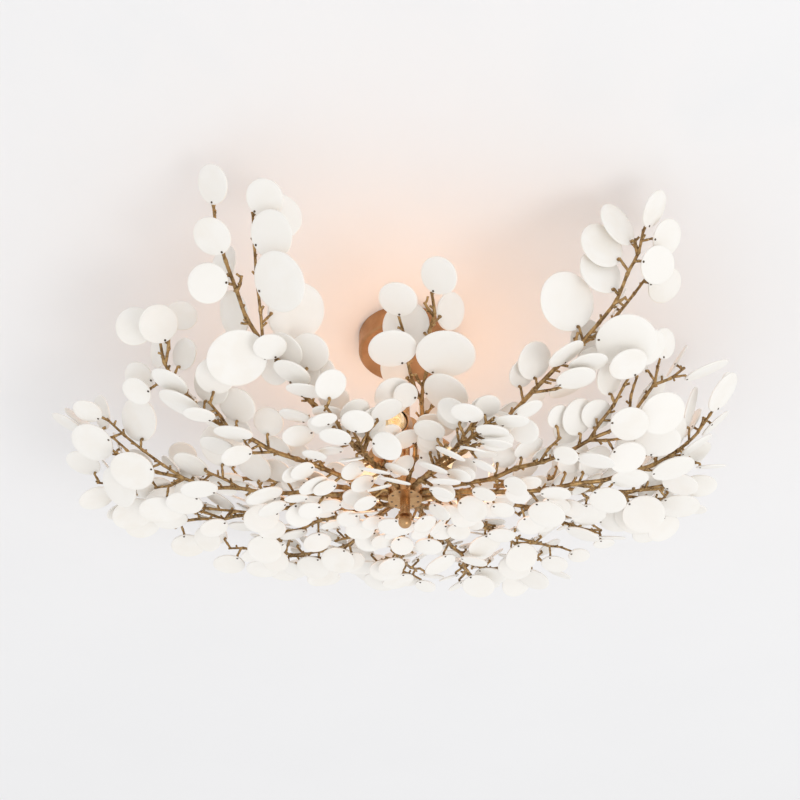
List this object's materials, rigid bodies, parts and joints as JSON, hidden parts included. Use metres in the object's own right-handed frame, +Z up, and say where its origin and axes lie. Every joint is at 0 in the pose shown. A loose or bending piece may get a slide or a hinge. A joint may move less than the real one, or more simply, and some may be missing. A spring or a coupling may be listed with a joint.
{
  "type": "flush mount ceiling light",
  "caption": "Flush mount ceiling light: brass twigs spread from a low hub into a bowl of round white porcelain discs, with lamps inside under a round canopy.",
  "frame": {"origin": "centre of the canopy's rim, on the ceiling", "axes": "+Z up into the ceiling, -Y to the front of the light as pictured, +X to its right"},
  "size_m": [0.9085, 0.8141, 0.3217],
  "materials": {
    "aged_brass": "antique brass, satin",
    "twig_brass": "antique gold, cast twig",
    "pin_brass": "darkened brass",
    "canopy_brass": "antique brass, satin",
    "porcelain": "unglazed white porcelain, matte",
    "zinc_steel": "zinc plated",
    "green_screw": "green plated",
    "wire_insulation": "wire insulation",
    "wire_nut": "moulded",
    "socket_body": "glazed ceramic lampholder",
    "lamp_base": "rolled thread shell",
    "bulb_glass": "frosted warm glass",
    "filament": "filament and glass mount",
    "contact": "solder contact"
  },
  "bodies": {
    "root": {"crossbar": "zinc_steel", "ground_screw": "green_screw", "nipple": "zinc_steel", "crossbar_fasteners": "zinc_steel", "leads": "wire_insulation", "wire_nuts": "wire_nut", "stem": "aged_brass", "chamber_nipple": "zinc_steel", "chamber_nuts": "zinc_steel", "wiring_chamber": "aged_brass", "chamber_cover": "aged_brass", "lower_tube": "aged_brass", "threaded_rod": "zinc_steel", "hub": "aged_brass", "hub_set_screws": "zinc_steel", "finial_tube": "aged_brass", "lamp_nipples": "zinc_steel", "lamp_cups": "aged_brass", "lamp_sockets": "socket_body", "branch_01": "twig_brass", "branch_02": "twig_brass", "branch_03": "twig_brass", "branch_04": "twig_brass", "branch_05": "twig_brass", "branch_06": "twig_brass", "branch_07": "twig_brass", "branch_08": "twig_brass", "branch_09": "twig_brass", "branch_10": "twig_brass", "branch_11": "twig_brass", "branch_12": "twig_brass", "branch_13": "twig_brass", "branch_14": "twig_brass", "branch_15": "twig_brass", "branch_16": "twig_brass", "branch_17": "twig_brass", "branch_18": "twig_brass", "stubs": "twig_brass", "discs_small": "porcelain", "discs_medium": "porcelain", "discs_large": "porcelain", "discs_largest": "porcelain", "pins": "pin_brass"},
    "canopy_set": {"canopy": "canopy_brass", "slip_ring": "aged_brass", "thumb_screw": "aged_brass"},
    "finial_washer": {"finial_ring": "aged_brass"},
    "finial": {"finial_ball": "aged_brass"},
    "bulb_1_lead": {"bulb_1_contact": "contact"},
    "bulb_1": {"bulb_1_base": "lamp_base", "bulb_1_glass": "bulb_glass", "bulb_1_filament": "filament"},
    "bulb_2_lead": {"bulb_2_contact": "contact"},
    "bulb_2": {"bulb_2_base": "lamp_base", "bulb_2_glass": "bulb_glass", "bulb_2_filament": "filament"},
    "bulb_3_lead": {"bulb_3_contact": "contact"},
    "bulb_3": {"bulb_3_base": "lamp_base", "bulb_3_glass": "bulb_glass", "bulb_3_filament": "filament"}
  },
  "joints": [
    {"name": "canopy_slide", "type": "slide", "parent": "root", "child": "canopy_set", "axis": [0, 0, -1], "range_m": [0, 0.055]},
    {"name": "finial_drop", "type": "slide", "parent": "root", "child": "finial_washer", "axis": [0, 0, -1], "range_m": [0, 0.008]},
    {"name": "finial_turn", "type": "hinge", "parent": "finial_washer", "child": "finial", "pos_m": [0, 0, -0.31], "axis": [0, 0, -1], "range_deg": [0, 2880]},
    {"name": "bulb_1_travel", "type": "slide", "parent": "root", "child": "bulb_1_lead", "axis": [-0.1948, -0.8438, -0.5], "range_m": [0, 0.00762]},
    {"name": "bulb_1_turn", "type": "hinge", "parent": "bulb_1_lead", "child": "bulb_1", "pos_m": [0, 0, -0.161], "axis": [-0.1948, -0.8438, -0.5], "range_deg": [0, 1080]},
    {"name": "bulb_2_travel", "type": "slide", "parent": "root", "child": "bulb_2_lead", "axis": [0.8282, 0.2532, -0.5], "range_m": [0, 0.00762]},
    {"name": "bulb_2_turn", "type": "hinge", "parent": "bulb_2_lead", "child": "bulb_2", "pos_m": [0, 0, -0.161], "axis": [0.8282, 0.2532, -0.5], "range_deg": [0, 1080]},
    {"name": "bulb_3_travel", "type": "slide", "parent": "root", "child": "bulb_3_lead", "axis": [-0.6334, 0.5906, -0.5], "range_m": [0, 0.00762]},
    {"name": "bulb_3_turn", "type": "hinge", "parent": "bulb_3_lead", "child": "bulb_3", "pos_m": [0, 0, -0.161], "axis": [-0.6334, 0.5906, -0.5], "range_deg": [0, 1080]}
  ],
  "couplings": [
    {"joint": "finial_turn", "follows": "finial_drop", "rad_per_m": 6283.2},
    {"joint": "bulb_1_turn", "follows": "bulb_1_travel", "rad_per_m": 2473.7},
    {"joint": "bulb_2_turn", "follows": "bulb_2_travel", "rad_per_m": 2473.7},
    {"joint": "bulb_3_turn", "follows": "bulb_3_travel", "rad_per_m": 2473.7}
  ]
}
